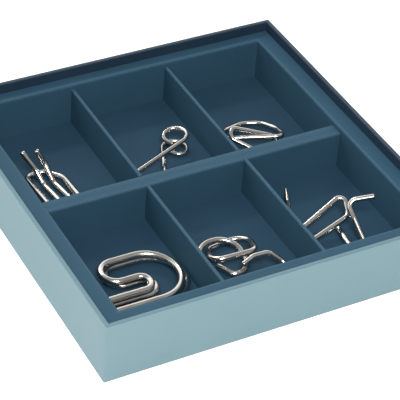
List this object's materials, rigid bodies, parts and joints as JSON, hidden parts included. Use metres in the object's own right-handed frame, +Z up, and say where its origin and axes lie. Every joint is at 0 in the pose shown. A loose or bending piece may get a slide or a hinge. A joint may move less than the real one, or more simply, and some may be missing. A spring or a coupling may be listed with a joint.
{
  "type": "boxed bent-wire disentanglement puzzle set",
  "caption": "Shallow open box with a card insert of square compartments, each holding a pair of bent steel wire disentanglement puzzle pieces.",
  "frame": {"origin": "centre of the box's underside, on the surface it stands on", "axes": "+Z up through the open top; -Y towards the front wall, the long wall nearest the front row of compartments; +X to the right seen from the front"},
  "size_m": [0.2, 0.2, 0.036],
  "materials": {
    "wrap_paper": "pale grey-blue printed paper wrapped round the box, satin varnish, folded over the rim",
    "lining_paper": "dark blue-black lining paper, matte",
    "greyboard": "grey pulp board, matte, mostly hidden",
    "insert_card": "dark teal-blue card, matte, soft folded edges",
    "polished_wire": "nickel-plated round steel wire, polished, ends rounded"
  },
  "bodies": {
    "tray": {"base_board": "greyboard", "wall_front": "greyboard", "wall_back": "greyboard", "wall_left": "greyboard", "wall_right": "greyboard", "outer_wrap": "wrap_paper", "wall_lining": "lining_paper", "insert_floor": "insert_card", "ledge_front": "insert_card", "ledge_back": "insert_card", "ledge_left": "insert_card", "ledge_right": "insert_card", "insert_wall_front": "insert_card", "insert_wall_back": "insert_card", "insert_wall_left": "insert_card", "insert_wall_right": "insert_card", "floor_bearer_left": "greyboard", "floor_bearer_right": "greyboard", "rib_front": "insert_card", "rib_back": "insert_card", "rib_top": "insert_card", "divider_front_left": "insert_card", "divider_front_right": "insert_card", "divider_back_left": "insert_card", "divider_back_right": "insert_card"},
    "clip_lower": {"clip_lower": "polished_wire"},
    "clip_upper": {"clip_upper": "polished_wire"},
    "hooked_ring": {"hooked_ring": "polished_wire"},
    "long_loop": {"long_loop": "polished_wire"},
    "prong_hairpin": {"prong_hairpin": "polished_wire"},
    "leg_hook": {"leg_hook": "polished_wire"},
    "wide_loop": {"wide_loop": "polished_wire"},
    "twin_prong": {"twin_prong": "polished_wire"},
    "pigtail_lower": {"pigtail_lower": "polished_wire"},
    "pigtail_upper": {"pigtail_upper": "polished_wire"},
    "d_ring_back": {"d_ring_back": "polished_wire"},
    "d_ring_front": {"d_ring_front": "polished_wire"}
  },
  "joints": [
    {"name": "clip_lower_lift", "type": "slide", "parent": "tray", "child": "clip_lower", "axis": [0, 0, 1], "range_m": [0, 0.045]},
    {"name": "clip_upper_swing", "type": "hinge", "parent": "clip_lower", "child": "clip_upper", "pos_m": [-0.0806, -0.06, 0.0096], "axis": [0, -1, 0], "range_deg": [0, 50]},
    {"name": "hooked_ring_lift", "type": "slide", "parent": "tray", "child": "hooked_ring", "axis": [0, 0, 1], "range_m": [0, 0.045]},
    {"name": "long_loop_swing", "type": "hinge", "parent": "hooked_ring", "child": "long_loop", "pos_m": [-0.01535, -0.04595, 0.00655], "axis": [-0.089, -0.6822, 0.7257], "range_deg": [0, 35]},
    {"name": "prong_hairpin_lift", "type": "slide", "parent": "tray", "child": "prong_hairpin", "axis": [0, 0, 1], "range_m": [0, 0.045]},
    {"name": "leg_hook_swing", "type": "hinge", "parent": "prong_hairpin", "child": "leg_hook", "pos_m": [0.07511, -0.04913, 0.01784], "axis": [-0.6695, 0.3033, 0.6781], "range_deg": [0, 35]},
    {"name": "wide_loop_lift", "type": "slide", "parent": "tray", "child": "wide_loop", "axis": [0, 0, 1], "range_m": [0, 0.045]},
    {"name": "twin_prong_swing", "type": "hinge", "parent": "wide_loop", "child": "twin_prong", "pos_m": [-0.06118, 0.0103, 0.00765], "axis": [0.777, 0.2082, 0.5941], "range_deg": [0, 35]},
    {"name": "pigtail_lower_lift", "type": "slide", "parent": "tray", "child": "pigtail_lower", "axis": [0, 0, 1], "range_m": [0, 0.045]},
    {"name": "pigtail_upper_swing", "type": "hinge", "parent": "pigtail_lower", "child": "pigtail_upper", "pos_m": [-0.0232, 0.0299, 0.0063], "axis": [0.2562, -0.9666, 0], "range_deg": [0, 35]},
    {"name": "d_ring_back_lift", "type": "slide", "parent": "tray", "child": "d_ring_back", "axis": [0, 0, 1], "range_m": [0, 0.045]},
    {"name": "d_ring_front_swing", "type": "hinge", "parent": "d_ring_back", "child": "d_ring_front", "pos_m": [0.0533, 0.0297, 0.0123], "axis": [-0.9214, 0.3853, -0.0499], "range_deg": [0, 45]}
  ]
}
